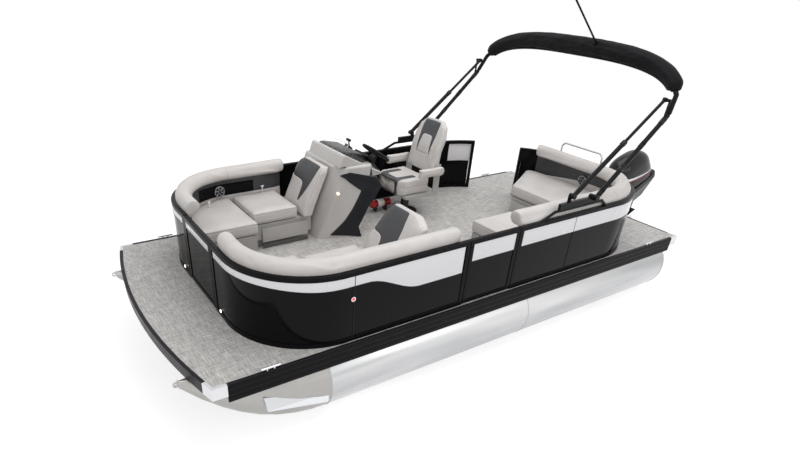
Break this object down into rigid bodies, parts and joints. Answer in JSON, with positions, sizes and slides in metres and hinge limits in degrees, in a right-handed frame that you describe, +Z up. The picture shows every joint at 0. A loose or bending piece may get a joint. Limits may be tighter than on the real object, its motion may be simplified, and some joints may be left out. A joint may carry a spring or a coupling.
{
  "type": "pontoon boat",
  "caption": "Pontoon boat on two aluminium tubes, with a fenced deck, lounges, a helm, a folded bimini and an outboard motor that tilts and steers",
  "frame": {"origin": "on the floor under the keels, amidships, midway between the bow eyes and the back of the motor", "axes": "+X forward, +Y to port, +Z up"},
  "size_m": [6.8883, 2.59, 3.1227],
  "materials": {
    "tube": "satin",
    "nose": "brushed",
    "strake": "satin",
    "deck": "woven vinyl",
    "rail": "matt",
    "chrome": "polished",
    "fence": "satin",
    "skin": "gloss",
    "lamp": "clear",
    "base": "satin",
    "vinyl": "soft vinyl",
    "speaker": "matt",
    "console": "gloss",
    "dash": "satin",
    "display": "gloss",
    "windscreen": "clear",
    "wheel": "satin",
    "red": "gloss",
    "canvas": "woven",
    "motor": "satin",
    "cowl": "gloss",
    "engine": "plain"
  },
  "bodies": {
    "boat": {"pontoon_port": "tube", "pontoon_starboard": "tube", "nose_cones": "nose", "bow_eyes": "tube", "spray_strakes": "strake", "underframe": "tube", "deck": "deck", "rub_rails": "rail", "corner_caps": "chrome", "cleats": "chrome", "fence_port_bow": "fence", "fence_port_stern": "fence", "fence_starboard": "fence", "skin_port_bow": "skin", "skin_port_stern": "skin", "skin_starboard": "skin", "lamps": "lamp", "lounge_bases": "base", "lounge_seats": "vinyl", "lounge_backs": "vinyl", "bolsters": "vinyl", "stern_base": "base", "stern_seat": "vinyl", "speakers": "speaker", "console": "console", "dash": "dash", "display": "display", "windscreen": "windscreen", "throttle": "dash", "extinguisher": "red", "chair_post": "fence", "bimini_mounts": "fence", "stern_rail": "chrome", "motor_pod": "tube", "motor_clamp": "motor"},
    "bow_gate_leaf": {"bow_gate": "fence", "bow_gate_skin": "skin"},
    "side_gate_leaf": {"side_gate": "fence", "side_gate_skin": "skin"},
    "wheel": {"steering_wheel": "wheel"},
    "chair": {"chair_frame": "fence", "chair_seat": "vinyl", "chair_back": "vinyl"},
    "port_armrest": {"armrest_port": "vinyl"},
    "starboard_armrest": {"armrest_starboard": "vinyl"},
    "bimini": {"bimini_bows": "fence", "bimini_arch": "fence", "bimini_boot": "canvas", "light_pole": "fence"},
    "struts": {"bimini_struts": "fence"},
    "rods": {"bimini_rods": "chrome"},
    "motor_bracket": {"motor_swivel": "motor"},
    "motor": {"motor_leg": "motor", "motor_pan": "motor", "motor_cowl": "cowl", "engine_block": "engine"},
    "screw": {"propeller": "motor"}
  },
  "joints": [
    {"name": "bow_gate_hinge", "type": "hinge", "parent": "boat", "child": "bow_gate_leaf", "pos_m": [2.809, 0.316, 1], "axis": [0, 0, -1], "range_deg": [0, 90]},
    {"name": "side_gate_hinge", "type": "hinge", "parent": "boat", "child": "side_gate_leaf", "pos_m": [0.98, 1.2, 1], "axis": [0, 0, 1], "range_deg": [0, 90]},
    {"name": "wheel_turn", "type": "hinge", "parent": "boat", "child": "wheel", "pos_m": [0.574, -0.76, 1.475], "axis": [-0.5736, 0, 0.8192], "range_deg": [-600, 600]},
    {"name": "chair_turn", "type": "hinge", "parent": "boat", "child": "chair", "pos_m": [0.114, -0.76, 1], "axis": [0, 0, 1], "range_deg": [-90, 90]},
    {"name": "port_armrest_hinge", "type": "hinge", "parent": "chair", "child": "port_armrest", "pos_m": [-0.108, -0.451, 1.268], "axis": [0, -1, 0], "range_deg": [0, 100]},
    {"name": "starboard_armrest_hinge", "type": "hinge", "parent": "chair", "child": "starboard_armrest", "pos_m": [-0.108, -1.069, 1.268], "axis": [0, -1, 0], "range_deg": [0, 100]},
    {"name": "bimini_fold", "type": "hinge", "parent": "boat", "child": "bimini", "pos_m": [-0.516, 0, 1.46], "axis": [0, 1, 0], "range_deg": [0, 50]},
    {"name": "strut_swing", "type": "hinge", "parent": "boat", "child": "struts", "pos_m": [-0.246, 0, 1.5], "axis": [0, 1, 0], "range_deg": [-1, 50]},
    {"name": "rod_slide", "type": "slide", "parent": "struts", "child": "rods", "axis": [-0.7898, 0, 0.6133], "range_m": [-0.25, 0.005]},
    {"name": "motor_tilt", "type": "hinge", "parent": "boat", "child": "motor_bracket", "pos_m": [-2.74, 0, 0.6], "axis": [0, 1, 0], "range_deg": [-24, 40]},
    {"name": "motor_steer", "type": "hinge", "parent": "motor_bracket", "child": "motor", "pos_m": [-2.83592, 0, 0.64271], "axis": [0.4067, 0, 0.9135], "range_deg": [-30, 30]},
    {"name": "propeller_spin", "type": "hinge", "parent": "motor", "child": "screw", "pos_m": [-3.34913, 0, 0.24726], "axis": [0.9135, 0, -0.4067], "continuous": true}
  ],
  "couplings": [
    {"joint": "wheel_turn", "follows": "motor_steer", "ratio": -20},
    {"joint": "strut_swing", "follows": "bimini_fold", "ratio": 0.896},
    {"joint": "rod_slide", "follows": "bimini_fold", "m_per_rad": -0.2384}
  ]
}
